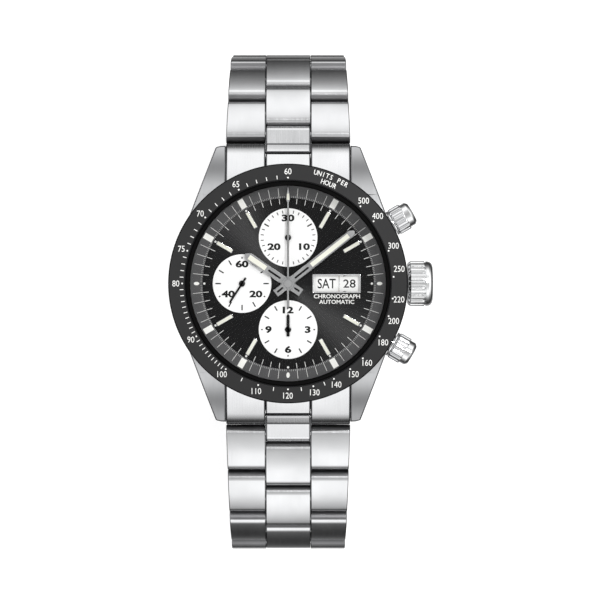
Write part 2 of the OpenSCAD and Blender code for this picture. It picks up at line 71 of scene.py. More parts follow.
def metal(name, colour, rough, grain, spread=0.08, relief=0.002, metallic=1.0, gleam=0.5):
    """Metal whose grain is a noise stretched by grain, in cells per metre. The noise moves the
    roughness by spread to either side of rough and raises the surface by relief millimetres; a wide
    soft noise dulls the colour by up to a tenth, as handling does."""
    finish = bpy.data.materials.new(name)
    finish.use_nodes = True
    tree = finish.node_tree
    shader = tree.nodes["Principled BSDF"]
    shader.inputs["Metallic"].default_value = metallic
    shader.inputs["Specular IOR Level"].default_value = gleam
    place = tree.nodes.new("ShaderNodeTexCoord")
    stretch = tree.nodes.new("ShaderNodeMapping")
    stretch.inputs["Scale"].default_value = grain
    lines = tree.nodes.new("ShaderNodeTexNoise")
    lines.inputs["Scale"].default_value = 1.0
    lines.inputs["Detail"].default_value = 3.0
    tree.links.new(place.outputs["Object"], stretch.inputs["Vector"])
    tree.links.new(stretch.outputs["Vector"], lines.inputs["Vector"])
    gloss = tree.nodes.new("ShaderNodeMapRange")
    gloss.inputs["From Min"].default_value = 0.25
    gloss.inputs["From Max"].default_value = 0.75
    gloss.inputs["To Min"].default_value = max(rough - spread, 0.02)
    gloss.inputs["To Max"].default_value = rough + spread
    tree.links.new(lines.outputs["Fac"], gloss.inputs["Value"])
    tree.links.new(gloss.outputs["Result"], shader.inputs["Roughness"])
    rise = tree.nodes.new("ShaderNodeBump")
    rise.inputs["Strength"].default_value = 1.0
    rise.inputs["Distance"].default_value = relief * MM
    tree.links.new(lines.outputs["Fac"], rise.inputs["Height"])
    tree.links.new(rise.outputs["Normal"], shader.inputs["Normal"])
    cloud = tree.nodes.new("ShaderNodeTexNoise")
    cloud.inputs["Scale"].default_value = 160.0
    cloud.inputs["Detail"].default_value = 2.0
    tone = tree.nodes.new("ShaderNodeValToRGB")
    tone.color_ramp.elements[0].position = 0.3
    tone.color_ramp.elements[0].color = [0.9 * c for c in colour] + [1]
    tone.color_ramp.elements[1].position = 0.7
    tone.color_ramp.elements[1].color = list(colour) + [1]
    tree.links.new(place.outputs["Object"], cloud.inputs["Vector"])
    tree.links.new(cloud.outputs["Fac"], tone.inputs["Fac"])
    tree.links.new(tone.outputs["Color"], shader.inputs["Base Color"])
    return finish


def finish_node(name, *finishes):
    """Gives a CAD node its finishes: the first for its faces, the second for its eased edges and a third
    for its flanks."""
    slots = node[name].data.materials
    slots.clear()
    for finish in finishes:
        slots.append(finish)


def round_edges(piece, width, steps=2, edge_slot=-1, angle=32):
    """Rounds every edge sharper than angle to width millimetres, in that many steps, and keeps the flats
    looking flat. The rounding takes the material in edge_slot, or the faces' own where that is -1."""
    rounding = piece.modifiers.new("rounding", "BEVEL")
    rounding.width = width * MM
    rounding.segments = steps
    rounding.limit_method = "ANGLE"
    rounding.angle_limit = math.radians(angle)
    rounding.material = edge_slot
    rounding.use_clamp_overlap = False
    flats = piece.modifiers.new("flats", "WEIGHTED_NORMAL")
    flats.keep_sharp = True


def ease_node(name, width, steps=2, edge_slot=-1, near=0.002):
    """Joins a CAD node's loose triangles into clean faces, merging corners nearer than near, then
    rounds its edges."""
    piece = node[name]
    piece.data.shade_smooth()
    join = piece.modifiers.new("join", "WELD")
    join.merge_threshold = near * MM
    faces = piece.modifiers.new("faces", "DECIMATE")
    faces.decimate_type = "DISSOLVE"
    faces.angle_limit = math.radians(0.8)
    round_edges(piece, width, steps, edge_slot)


def lean_of_faces(piece, axis):
    """How far each face of a piece leans towards or away from an axis: the size of the cosine between
    its normal and the axis."""
    normals = np.empty(3 * len(piece.data.polygons))
    piece.data.polygons.foreach_get("normal", normals)
    return np.abs(normals.reshape(-1, 3) @ np.asarray(axis, float))


def give_flanks(piece, chosen):
    """Puts the third finish, in slot FLANK_SLOT, on the chosen faces."""
    piece.data.polygons.foreach_set("material_index", np.where(chosen, FLANK_SLOT, 0).astype(np.int32))


def object_place(tree):
    """The Object coordinates that a finish made by metal already reads."""
    return next(n for n in tree.nodes if n.type == "TEX_COORD").outputs["Object"]


def worked_out(tree, value, *steps):
    """Passes a value through one Math node for each (operation, operand)."""
    for operation, operand in steps:
        step = tree.nodes.new("ShaderNodeMath")
        step.operation = operation
        step.inputs[1].default_value = operand
        tree.links.new(value, step.inputs[0])
        value = step.outputs["Value"]
    return value


def dull_along_lugs(finish, place, reach, share, beyond=0.0):
    """Paints shade into a finish: at a distance place along Y on either side the colour is multiplied by
    share, and it comes back to full strength reach away from there. It stays bright where X is less than
    beyond on either side."""
    tree = finish.node_tree
    shader = tree.nodes["Principled BSDF"]
    colour = shader.inputs["Base Color"].links[0].from_socket
    parts = tree.nodes.new("ShaderNodeSeparateXYZ")
    tree.links.new(object_place(tree), parts.inputs["Vector"])
    distance = worked_out(tree, parts.outputs["Y"], ("ABSOLUTE", 0), ("SUBTRACT", place), ("ABSOLUTE", 0))
    inside = worked_out(tree, parts.outputs["X"], ("ABSOLUTE", 0), ("LESS_THAN", beyond))
    both = tree.nodes.new("ShaderNodeMath")
    both.operation = "ADD"
    tree.links.new(distance, both.inputs[0])
    tree.links.new(inside, both.inputs[1])
    fade = tree.nodes.new("ShaderNodeMapRange")
    fade.interpolation_type = "SMOOTHSTEP"
    fade.inputs["From Max"].default_value = reach
    fade.inputs["To Min"].default_value = share
    tree.links.new(both.outputs["Value"], fade.inputs["Value"])
    dimmed = tree.nodes.new("ShaderNodeVectorMath")
    dimmed.operation = "SCALE"
    tree.links.new(colour, dimmed.inputs[0])
    tree.links.new(fade.outputs["Result"], dimmed.inputs["Scale"])
    tree.links.new(dimmed.outputs["Vector"], shader.inputs["Base Color"])


brushed = metal("brushed_steel", STEEL, 0.26, LENGTHWISE, 0.07, 0.0012)
polished = metal("polished_steel", BRIGHT_STEEL, 0.11, (900, 900, 900), 0.03, 0.0004)
# Painted shade: the eased edges of the case, end links and links take this dark copy of the steel (0.20
# against 0.70), so they show as dark lines between the parts.
eased = metal("eased_edges_painted_shade", (0.20, 0.202, 0.208), 0.2, (900, 900, 900), 0.04, 0.0004)
# Painted shade: the case's top faces take a darker copy of the steel than its flanks (0.52 against 0.74).
# The lengthwise grain and roughness are real brushing.
case_brushed_shaded = metal("case_brushed_shaded", (0.52, 0.525, 0.535), 0.34, (5200, 260, 260), 0.06, 0.0012)
# Painted shade: the case darkens to 0.42 of its colour in a band about 20.6 mm out along Y, by the bezel's
# edge.
dull_along_lugs(case_brushed_shaded, 0.0206, 0.0046, 0.42)
flank_steel = metal("flank_steel", (0.74, 0.745, 0.755), 0.34, (260, 260, 6000), 0.06, 0.0012)
finish_node("case_middle", case_brushed_shaded, eased, flank_steel)
give_flanks(node["case_middle"], lean_of_faces(node["case_middle"], (0, 0, 1)) < FLANK_LEAN)
ease_node("case_middle", 0.22, 3, EDGE_SLOT, 0.06)
node["case_middle"].modifiers["rounding"].loop_slide = False

# Case back and its gasket
# A screwed steel disc with six wrench notches, turned on a lathe, so its grain runs in rings. The
# gasket is a moulded rubber ring squeezed between the back and the case.
RUBBER = (0.012, 0.012, 0.013)


def grain_lines(tree):
    """The noise that draws the grain of a finish made by metal: the more detailed of its two."""
    noises = [n for n in tree.nodes if n.type == "TEX_NOISE"]
    return max(noises, key=lambda n: n.inputs["Detail"].default_value)


def turned_metal(name, colour, rough, per_mm=7.0, spread=0.07, relief=0.002, metallic=1.0, gleam=0.5):
    """Lathe-turned metal: the grain is a noise of the distance from the Z axis alone."""
    finish = metal(name, colour, rough, (1, 1, 1), spread, relief, metallic, gleam)
    tree = finish.node_tree
    lines = grain_lines(tree)
    flatten = tree.nodes.new("ShaderNodeVectorMath")
    flatten.operation = "MULTIPLY"
    flatten.inputs[1].default_value = (1, 1, 0)
    reach = tree.nodes.new("ShaderNodeVectorMath")
    reach.operation = "LENGTH"
    lines.noise_dimensions = "1D"
    lines.inputs["Scale"].default_value = per_mm / MM
    tree.links.new(object_place(tree), flatten.inputs[0])
    tree.links.new(flatten.outputs["Vector"], reach.inputs[0])
    tree.links.new(reach.outputs["Value"], lines.inputs["W"])
    return finish


turned_steel = turned_metal("turned_steel", STEEL, 0.24)
rubber = metal("rubber", RUBBER, 0.62, (2600, 2600, 2600), 0.08, 0.004, 0.0)
finish_node("case_back", turned_steel, polished)
ease_node("case_back", 0.12, 2, EDGE_SLOT)
finish_node("case_back_gasket", rubber)

# Movement
# Rhodium-plated bridge and rotor over a gilt main plate, with brass wheels on steel arbors. A plastic
# ring holds it all in the case. None of it shows once the back is on.
BRASS = (0.78, 0.60, 0.30)
RHODIUM = (0.66, 0.66, 0.67)
gilt = turned_metal("gilt_plate", BRASS, 0.30, 3.0)
brass_wheel = turned_metal("brass_wheel", BRASS, 0.22, 9.0)
striped = metal("striped_bridge", RHODIUM, 0.28, (420, 40, 40), 0.12, 0.004)
holder_plastic = metal("holder_plastic", (0.32, 0.33, 0.35), 0.5, (1500, 1500, 1500), 0.07, 0.004, 0.0)
finish_node("main_plate", gilt)
finish_node("movement_holder", holder_plastic)
finish_node("train_bridge", striped, polished)
finish_node("rotor", turned_metal("rotor_grain", RHODIUM, 0.26, 4.0), polished)
for wheel in ("mainspring_barrel", "fourth_wheel", "balance_wheel"):
    finish_node(wheel, brass_wheel)
finish_node("escape_wheel", polished)
ease_node("train_bridge", 0.08, 2, EDGE_SLOT)
ease_node("rotor", 0.08, 2, EDGE_SLOT)

# Dial
# A black brass disc with a fine sunray brushing from its centre and two openings for the calendar. The
# three sub-dials are sunk into it: white lacquer over closely turned rings, each with a bevelled rim.
SUBDIALS = {"minutes": 0, "hours": 180, "seconds": 270}
SUBDIAL_OFFSET = 8.1
SUBDIAL_R = 5.16
DIAL_TOP = 8.0
SUNK_FLOOR = 7.9
ARBOR_HOLE_R = 0.34
FLOOR_RINGS = 22
RING_RELIEF = 0.008


def mesh_piece(name, points, faces, finish, body, stands_for=(), sharp=32):
    """A new piece of the watch from points in millimetres. Doubled points are merged and the faces
    turned outwards; edges sharper than sharp degrees stay crisp."""
    mesh = bpy.data.meshes.new(name)
    mesh.from_pydata((np.asarray(points, float) * MM).tolist(), [], [list(f) for f in faces])
    shell = bmesh.new()
    shell.from_mesh(mesh)
    bmesh.ops.remove_doubles(shell, verts=shell.verts, dist=1e-4 * MM)
    bmesh.ops.recalc_face_normals(shell, faces=shell.faces)
    shell.to_mesh(mesh)
    shell.free()
    mesh.shade_smooth()
    mesh.set_sharp_from_angle(angle=math.radians(sharp))
    mesh.materials.append(finish)
    piece = bpy.data.objects.new(name, mesh)
    bpy.context.scene.collection.objects.link(piece)
    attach(piece, body)
    if stands_for:
        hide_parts(*stands_for)
    return piece


def grid_faces(rows, columns, close_rows=True, close_columns=True):
    """Quads between neighbours of a rows by columns grid, joined up at either end where it closes."""
    i = np.arange(rows if close_rows else rows - 1)[:, None]
    j = np.arange(columns if close_columns else columns - 1)[None, :]
    k = (i + 1) % rows
    m = (j + 1) % columns
    quads = np.stack([i * columns + j, k * columns + j, k * columns + m, i * columns + m], axis=-1)
    return quads.reshape(-1, 4)


def turned(outline, count=144, closed=True):
    """Carries an outline of (radius, height) round Z: the point at angle a is (r cos a, r sin a, h)."""
    outline = np.asarray(outline, float)
    a = np.linspace(0, 2 * np.pi, count, endpoint=False)[:, None]
    r, h = outline[None, :, 0], outline[None, :, 1]
    points = np.stack([r * np.cos(a), r * np.sin(a), h + 0 * a], axis=-1)
    return points.reshape(-1, 3), grid_faces(count, len(outline), True, closed)


def at_clock(clock, reach):
    """Point of the dial at a clock angle in degrees and a distance from the centre."""
    a = math.radians(clock)
    return np.array([reach * math.sin(a), reach * math.cos(a), 0.0])


def sunray_metal(name, colour, rough):
    """Brushed from the centre outwards: the grain is a noise of the angle round Z alone, and the
    gloss spreads across the brushing, round Z."""
    finish = metal(name, colour, rough, (1, 1, 1), 0.05, 0.006, 0.0, 0.24)
    tree = finish.node_tree
    shader = tree.nodes["Principled BSDF"]
    around = tree.nodes.new("ShaderNodeTangent")
    around.direction_type = "RADIAL"
    around.axis = "Z"
    tree.links.new(around.outputs["Tangent"], shader.inputs["Tangent"])
    shader.inputs["Anisotropic"].default_value = 0.9
    lines = grain_lines(tree)
    parts = tree.nodes.new("ShaderNodeSeparateXYZ")
    angle = tree.nodes.new("ShaderNodeMath")
    angle.operation = "ARCTAN2"
    lines.noise_dimensions = "1D"
    lines.inputs["Scale"].default_value = 90.0
    tree.links.new(object_place(tree), parts.inputs["Vector"])
    tree.links.new(parts.outputs["Y"], angle.inputs[0])
    tree.links.new(parts.outputs["X"], angle.inputs[1])
    tree.links.new(angle.outputs["Value"], lines.inputs["W"])
    return finish


dial_black = sunray_metal("sunray_black", (0.003, 0.003, 0.0033), 0.26)
white_lacquer = metal("white_lacquer", (0.93, 0.93, 0.925), 0.38, (900, 900, 900), 0.05, 0.001, 0.0)
finish_node("dial", dial_black)
floor_rings = np.linspace(4.6, ARBOR_HOLE_R, FLOOR_RINGS)
ripple = RING_RELIEF * (np.arange(FLOOR_RINGS) % 2)
for title, clock in SUBDIALS.items():
    outline = [[ARBOR_HOLE_R, SUNK_FLOOR + 0.005], [SUBDIAL_R, SUNK_FLOOR + 0.005],
               [SUBDIAL_R, DIAL_TOP + 0.01], [SUBDIAL_R - 0.1, DIAL_TOP + 0.03], [4.72, SUNK_FLOOR + 0.07]]
    outline += [[r, SUNK_FLOOR + 0.06 + rise] for r, rise in zip(floor_rings, ripple)]
    points, faces = turned(outline, 96)
    mesh_piece("subdial_" + title, points + at_clock(clock, SUBDIAL_OFFSET), faces, white_lacquer,
               "head")

# Printing on the dial
# Numbers, scales and words are pad printed: white on black and black on white, a few hundredths of a
# millimetre thick.
INK_THICK = 0.02
CAPITAL_SHARE = 0.73
white_ink = metal("white_ink", (0.86, 0.86, 0.84), 0.5, (1800, 1800, 1800), 0.08, 0.001, 0.0)
black_ink = metal("black_ink", (0.004, 0.004, 0.004), 0.45, (1800, 1800, 1800), 0.08, 0.001, 0.0, 0.2)


def letters(text, height, stretch=1.0, weight=0.0):
    """Points and faces of a word in millimetres, centred, with capitals of that height, widened by
    stretch and thickened by weight."""
    curve = bpy.data.curves.new("word", "FONT")
    curve.body = text
    curve.align_x = "CENTER"
    curve.size = height / CAPITAL_SHARE
    curve.offset = weight * height
    curve.extrude = INK_THICK / 2
    curve.resolution_u = 3
    word = bpy.data.objects.new("word", curve)
    bpy.context.scene.collection.objects.link(word)
    mesh = bpy.data.meshes.new_from_object(word)
    points = np.empty(len(mesh.vertices) * 3)
    mesh.vertices.foreach_get("co", points)
    points = points.reshape(-1, 3)
    faces = [list(face.vertices) for face in mesh.polygons]
    bpy.data.objects.remove(word)
    bpy.data.curves.remove(curve)
    bpy.data.meshes.remove(mesh)
    low, high = points.min(0), points.max(0)
    points[:, :2] -= (low[:2] + high[:2]) / 2
    points[:, 0] *= stretch
    points[:, 2] += INK_THICK / 2
    return points, faces


def turn_points(points, clock):
    """Turns points about Z so that up points at the clock angle."""
    a = math.radians(-clock)
    c, s = math.cos(a), math.sin(a)
    return points @ np.array([[c, s, 0], [-s, c, 0], [0, 0, 1]])


def words(items):
    """Joins words given as (text, height, stretch, weight, centre, clock angle that is up)."""
    all_points, all_faces, count = [], [], 0
    for text, height, stretch, weight, centre, up in items:
        points, faces = letters(text, height, stretch, weight)
        all_points.append(turn_points(points, up) + np.asarray(centre, float))
        all_faces += [[i + count for i in face] for face in faces]
        count += len(points)
    return np.vstack(all_points), all_faces


def strokes(rows, steps=2, thick=INK_THICK):
    """Thin bars for rows of (clock angle, inner radius, outer radius, width). Each is a rectangle of that
    width and thickness carried outwards in steps, so that it can follow a sloped ring."""
    rows = np.asarray(rows, float)
    a = np.radians(rows[:, 0])[:, None, None]
    t = np.linspace(0, 1, steps)[None, :, None]
    reach = rows[:, 1][:, None, None] * (1 - t) + rows[:, 2][:, None, None] * t
    side = rows[:, 3][:, None, None] / 2 * np.array([-1, 1, 1, -1])[None, None, :]
    up = thick * np.array([0, 0, 1, 1])[None, None, :] + 0 * reach
    points = np.stack([reach * np.sin(a) + side * np.cos(a), reach * np.cos(a) - side * np.sin(a), up], -1)
    tube = grid_faces(steps, 4, False, True)
    ends = np.array([[0, 1, 2, 3], [4 * steps - 4, 4 * steps - 1, 4 * steps - 2, 4 * steps - 3]])
    one = np.vstack([tube, ends])
    faces = one[None] + 4 * steps * np.arange(len(rows))[:, None, None]
    return points.reshape(-1, 3), faces.reshape(-1, 4)


def dots(rows, thick=INK_THICK, count=12):
    """Round or oval spots for rows of (clock angle, distance, half width, half length): an ellipse of
    count points and the same one raised by thick, joined by a wall."""
    rows = np.asarray(rows, float)
    a = np.radians(rows[:, 0])[:, None]
    b = np.linspace(0, 2 * np.pi, count, endpoint=False)[None, :]
    out = rows[:, 1][:, None] + rows[:, 3][:, None] * np.sin(b)
    side = rows[:, 2][:, None] * np.cos(b)
    flat = np.stack([out * np.sin(a) + side * np.cos(a), out * np.cos(a) - side * np.sin(a), 0 * out], -1)
    points = np.stack([flat, flat + [0, 0, thick]], 1)
    wall = grid_faces(2, count, False, True)
    one = [list(q) for q in wall] + [list(range(count))[::-1], list(range(count, 2 * count))]
    faces = [[i + 2 * count * k for i in face] for k in range(len(rows)) for face in one]
    return points.reshape(-1, 3), faces


def together(*parts):
    """One set of points and faces out of several."""
    counts = np.cumsum([0] + [len(p) for p, _ in parts])
    faces = [[i + n for i in face] for (_, group), n in zip(parts, counts) for face in group]
    return np.vstack([p for p, _ in parts]), faces


SUBDIAL_FIGURES = {
    "minutes": [("30", 0, 3.45), ("10", 119, 3.3), ("20", 237, 2.95)],
    "hours": [("12", 0, 3.45), ("3", 90, 3.45), ("6", 180, 3.5), ("9", 270, 3.45)],
    "seconds": [("60", 0, 3.45), ("20", 127, 3.05), ("40", 233, 3.05)],
}
SUBDIAL_TICKS = {
    "minutes": [(12 * i, 4.3, 4.85, 0.15) if i % 5 else (12 * i, 3.9 if i % 10 else 4.5, 4.85, 0.24)
                for i in range(30)],
    "hours": [(30 * i, 3.85 if i % 3 else 4.45, 4.75, 0.22) for i in range(12)],
    "seconds": [(30 * i, 3.75 if i % 4 else 4.4, 4.7, 0.22) for i in range(12)],
}
for title, clock in SUBDIALS.items():
    figures = [(text, 1.13, 1.45, 0.06, at_clock(turn, reach), 0)
               for text, turn, reach in SUBDIAL_FIGURES[title]]
    ink_points, ink_faces = together(words(figures), strokes(SUBDIAL_TICKS[title], 2, INK_THICK + 0.004))
    lift = at_clock(clock, SUBDIAL_OFFSET) + [0, 0, SUNK_FLOOR + 0.066]
    mesh_piece("subdial_print_" + title, ink_points + lift, ink_faces, black_ink, "head")

word_rows = [("CHRONOGRAPH", 0.72, 1.08, 0.025, (8.6, -2.24, 0), 0),
             ("AUTOMATIC", 0.72, 1.08, 0.025, (8.55, -3.22, 0), 0)]
spots = dots([(30 * h, 14.75, 0.2, 0.2) for h in range(1, 12)])
short_ticks = strokes([(6 * i, 14.05, 15.0, 0.09) for i in range(60) if i % 5])
points, faces = together(words(word_rows), spots, short_ticks)
mesh_piece("dial_print", points + [0, 0, DIAL_TOP + 0.002], faces, white_ink, "head")

# Applied hour batons
# Eight faceted steel batons riveted through the dial, each filled along its top with cream luminous
# paint.
LUME = (0.80, 0.80, 0.70)
LUME_THICK = 0.05
BATON_FILL_Z = 8.335
baton_steel = metal("baton_steel", BRIGHT_STEEL, 0.14, (400, 400, 400), 0.03, 0.0003)
lume = metal("luminous_paint", LUME, 0.6, (5200, 5200, 5200), 0.1, 0.004, 0.0)
finish_node("hour_markers", baton_steel)
ease_node("hour_markers", 0.06, 2)
points, faces = strokes([(30 * h, 11.42, 14.38, 0.54) for h in range(12) if h % 3], 2, LUME_THICK)
fill = mesh_piece("baton_lume", points + [0, 0, BATON_FILL_Z], faces, lume, "head")
round_edges(fill, 0.02, 2)

# Day and date discs and their window frame
# Two thin white rings under the dial, printed with the seven days and the 31 dates so that one of each
# faces the window at 3 o'clock. The frame round the two openings is a polished steel plate.
DAYS = ["SAT", "SUN", "MON", "TUE", "WED", "THU", "FRI"]
DATES = 31
DATE_SHOWN = 28
DISC_TOP = 7.52
disc_white = metal("disc_white", (0.93, 0.93, 0.92), 0.42, (1400, 1400, 1400), 0.05, 0.001, 0.0)
frame_steel = metal("frame_steel", BRIGHT_STEEL, 0.2, (300, 6000, 300), 0.05, 0.001)
finish_node("day_disc", disc_white)
finish_node("date_disc", disc_white)
finish_node("date_window_frame", frame_steel)
ease_node("date_window_frame", 0.05, 2)
day_step = 360 / len(DAYS)
days = [(day, 1.74, 0.79, 0.014, at_clock(90 - day_step * i, 6.8), -day_step * i)
        for i, day in enumerate(DAYS)]
points, faces = words(days)
mesh_piece("day_print", points + [0, 0, DISC_TOP + 0.002], faces, black_ink, "day_disc")
date_step = 360 / DATES
dates = [(str((DATE_SHOWN - 1 + i) % DATES + 1), 1.5, 1.1, 0.014, at_clock(90 - date_step * i, 10.82),
          -date_step * i) for i in range(DATES)]
points, faces = words(dates)
mesh_piece("date_print", points + [0, 0, DISC_TOP + 0.002], faces, black_ink, "date_disc")

# Flange ring
# The sloped ring between dial and crystal, turned in brass and finished satin grey. It is printed with
# a minute scale, blocks of luminous paint at the hours and oval spots at 3, 6 and 9.
FLANGE_IN = 15.05
FLANGE_LOW = 8.05
FLANGE_SLOPE = 0.6
flange_grey = turned_metal("flange_grey", (0.075, 0.075, 0.077), 0.36, 9.0, 0.06, 0.001, 0.0, 0.3)
outline = [[FLANGE_IN, FLANGE_LOW], [16.5, FLANGE_LOW], [16.5, 8.95], [17.85, 8.95], [17.85, 9.85],
           [17.2, 9.85], [17.2, 9.25], [17.05, 9.25]]
points, faces = turned(outline, 160)
ring = mesh_piece("flange_turned_ring", points, faces, flange_grey, "head", ["flange_ring"])
round_edges(ring, 0.03, 2)


def on_flange(points, lift=0.006):
    """Lifts flat printing onto the slope: the height grows by the slope times the distance beyond the
    ring's inner edge."""
    points = np.array(points, float)
    reach = np.hypot(points[:, 0], points[:, 1])
    points[:, 2] += FLANGE_LOW + FLANGE_SLOPE * (reach - FLANGE_IN) + lift
    return points


long_ticks = strokes([(6 * i, 15.12, 16.8, 0.07) for i in range(60) if i % 5], 3)
fine_ticks = strokes([(1.2 * i, 15.12, 15.42, 0.035) for i in range(300) if i % 5], 2)
points, faces = together(long_ticks, fine_ticks)
mesh_piece("flange_print", on_flange(points), faces, white_ink, "head")
block_paint = metal("block_paint", (0.95, 0.95, 0.91), 0.6, (5200, 5200, 5200), 0.1, 0.004, 0.0)
blocks = strokes([(30 * h, 15.3, 16.98, 1.05) for h in range(12) if h % 3], 4, LUME_THICK)
ovals = dots([(90 * q, 16.1, 0.3, 0.48) for q in range(1, 4)], LUME_THICK, 20)
points, faces = together(blocks, ovals)
mesh_piece("flange_lume", on_flange(points), faces, block_paint, "head")

# Hour and minute hands
# Pressed steel batons with bevelled edges. Each is pierced by a slot near its hub, shown black, and
# carries a strip of luminous paint from its middle to its tip.
hand_steel = metal("hand_steel", (0.62, 0.625, 0.63), 0.2, (500, 500, 500), 0.04, 0.0005)
slot_black = metal("slot_black", (0.003, 0.003, 0.003), 0.6, (1500, 1500, 1500), 0.05, 0.001, 0.0, 0.1)
SHOWN_MINUTES = 608.6
STEP_LONG = 0.01
TAIL_END = -2.8
TAIL_SLOT_START = -2.45


def baton_hand(stations, half_width, low, high, groove, groove_depth, edge, drop=0.12):
    """A hand lying along +Y: at each station the section is a low trapezium with bevelled shoulders and
    a groove of the given half width, as (x, z) points carried along Y. The shoulders are edge wide and
    fall by drop."""
    w, g = half_width[:, None], groove[:, None]
    shoulder = np.minimum(edge, 0.45 * w)
    x = np.concatenate([-w, -w, -w + shoulder, -g, -g, g, g, w - shoulder, w, w], 1)
    floor = high - groove_depth * (g > 0)
    one = np.ones_like(w)
    z = np.concatenate([low * one, (high - drop) * one, high * one, high * one, floor, floor,
                        high * one, high * one, (high - drop) * one, low * one], 1)
    y = np.repeat(stations[:, None], 10, 1)
    points = np.stack([x, y, z], -1).reshape(-1, 3)
    faces = [list(q) for q in grid_faces(len(stations), 10, False, True)]
    faces += [list(range(10))[::-1], list(range(len(points) - 10, len(points)))]
    return points, faces


def hub(radius, low, high, bore):
    """Turned hub with a bore and an eased shoulder."""
    outline = [[bore, low], [radius, low], [radius, high - 0.05], [radius - 0.06, high], [bore, high]]
    return turned(outline, 48)


def within(stations, span):
    """Which stations lie past the start of a span and up to its end."""
    return (stations > span[0]) & (stations <= span[1])


HANDS = {
    "hour_hand": dict(clock=SHOWN_MINUTES / 2, reach=9.16, half=0.75, low=8.55, high=8.8, hub_r=1.3,
                      tube_r=0.94, bore=0.6, tube_z=7.3, slot=(1.6, 4.2), lume=(4.7, 8.35)),
    "minute_hand": dict(clock=SHOWN_MINUTES % 60 * 6, reach=14.85, half=0.7, low=8.95, high=9.15, hub_r=1.1,
                        tube_r=0.56, bore=0.24, tube_z=6.5, slot=(1.5, 4.6), lume=(5.2, 13.6)),
}
for title, h in HANDS.items():
    tail_slot = (TAIL_SLOT_START, -h["hub_r"])
    reach, half = h["reach"], h["half"]
    stations = [TAIL_END, TAIL_END + 0.06]
    for place in (*tail_slot, *h["slot"], *h["lume"]):
        stations += [place, place + STEP_LONG]
    stations = np.array(stations + [reach - 0.7, reach - 0.02, reach])
    half_width = np.interp(stations, [TAIL_END, TAIL_END + 0.06, reach - 0.7, reach],
                           [half - 0.05, half, half, 0.25])
    in_slot = within(stations, tail_slot) | within(stations, h["slot"])
    groove = 0.19 * in_slot + (half - 0.3) * within(stations, h["lume"])
    blade = baton_hand(stations, half_width, h["low"], h["high"], groove, 0.09, 0.1)
    tube = turned([[h["bore"], h["tube_z"]], [h["tube_r"], h["tube_z"]], [h["tube_r"], h["low"] + 0.02],
                   [h["bore"], h["low"] + 0.02]], 32)
    points, faces = together(blade, hub(h["hub_r"], h["low"], h["high"] + 0.01, h["bore"]), tube)
    mesh_piece(title + "_blade", turn_points(points, h["clock"]), faces, hand_steel, title,
               [title])
    for part, span, side, top, finish in (("slot", h["slot"], 0.17, h["high"] - 0.05, slot_black),
                                          ("tail_slot", tail_slot, 0.17, h["high"] - 0.05, slot_black),
                                          ("lume", h["lume"], half - 0.31, h["high"] + 0.015, lume)):
        stations = np.array([span[0] + 0.02, span[0] + 0.1, span[1] - 0.1, span[1] - 0.02])
        widths = np.array([side - 0.05, side, side, side - 0.05])
        strip, faces = baton_hand(stations, widths, h["high"] - 0.085, top, np.zeros(4), 0.0, 0.02, 0.02)
        mesh_piece(title + "_" + part, turn_points(strip, h["clock"]), faces, finish, title)

# Chronograph seconds hand
# A slim polished needle with a counterweight tail, a widened luminous end on the minute scale and a
# domed cap over its pivot.
needle_y = np.array([-4.2, -4.1, -2.4, 0, 7, 14.2, 14.7, 15.5, 16.96, 17.0])
needle_w = np.array([0.2, 0.22, 0.21, 0.19, 0.17, 0.16, 0.36, 0.31, 0.07, 0.04])
blade = baton_hand(needle_y, needle_w, 9.35, 9.5, np.zeros(10), 0.0, 0.07, 0.07)
cap = turned([[0, 9.3], [0.75, 9.3], [0.75, 9.47], [0.7, 9.52], [0.3, 9.525], [0, 9.525]], 40, False)
arbor = turned([[0, 6.5], [0.2, 6.5], [0.2, 9.32], [0, 9.32]], 24, False)
points, faces = together(blade, cap, arbor)
mesh_piece("chrono_needle", points, faces, hand_steel, "chrono_seconds_hand",
           ["chrono_seconds_hand"])
lume_y = np.array([14.7, 14.76, 15.7, 15.8])
lume_w = np.array([0.2, 0.24, 0.21, 0.17])
points, faces = baton_hand(lume_y, lume_w, 9.49, 9.515, np.zeros(4), 0.0, 0.02, 0.01)
mesh_piece("chrono_lume", points, faces, lume, "chrono_seconds_hand")

# Sub-dial hands
# Small black lacquered leaves with a short tail and a round hub, stamped from thin steel. Each is
# pressed on its own arbor in the middle of its sub-dial.
hand_black = metal("hand_black", (0.004, 0.004, 0.004), 0.28, (900, 900, 900), 0.05, 0.0005, 0.0, 0.25)
# Clock angle of the sub-dial, clock angle of the hand, its reach and its half width
SMALL_HANDS = {
    "minute_counter_hand": (0, 0, 4.4, 0.17),
    "hour_counter_hand": (180, 0, 2.75, 0.27),
    "running_seconds_hand": (270, 213, 4.07, 0.18),
}
for title, (place, clock, reach, half) in SMALL_HANDS.items():
    stations = np.array([-1.2, -1.15, 0, reach - 0.35, reach - 0.03, reach])
    widths = np.array([half * 0.8, half, half, half, 0.07, 0.05])
    blade = baton_hand(stations, widths, 8.15, 8.3, np.zeros(6), 0.0, 0.06, 0.06)
    boss = turned([[0, 8.14], [0.55, 8.14], [0.55, 8.27], [0.48, 8.3], [0, 8.3]], 32, False)
    stalk = turned([[0, 7.6], [0.26, 7.6], [0.26, 8.16], [0, 8.16]], 20, False)
    points, faces = together(blade, boss, stalk)
    points = turn_points(points, clock) + at_clock(place, SUBDIAL_OFFSET)
    mesh_piece(title + "_leaf", points, faces, hand_black, title, [title])

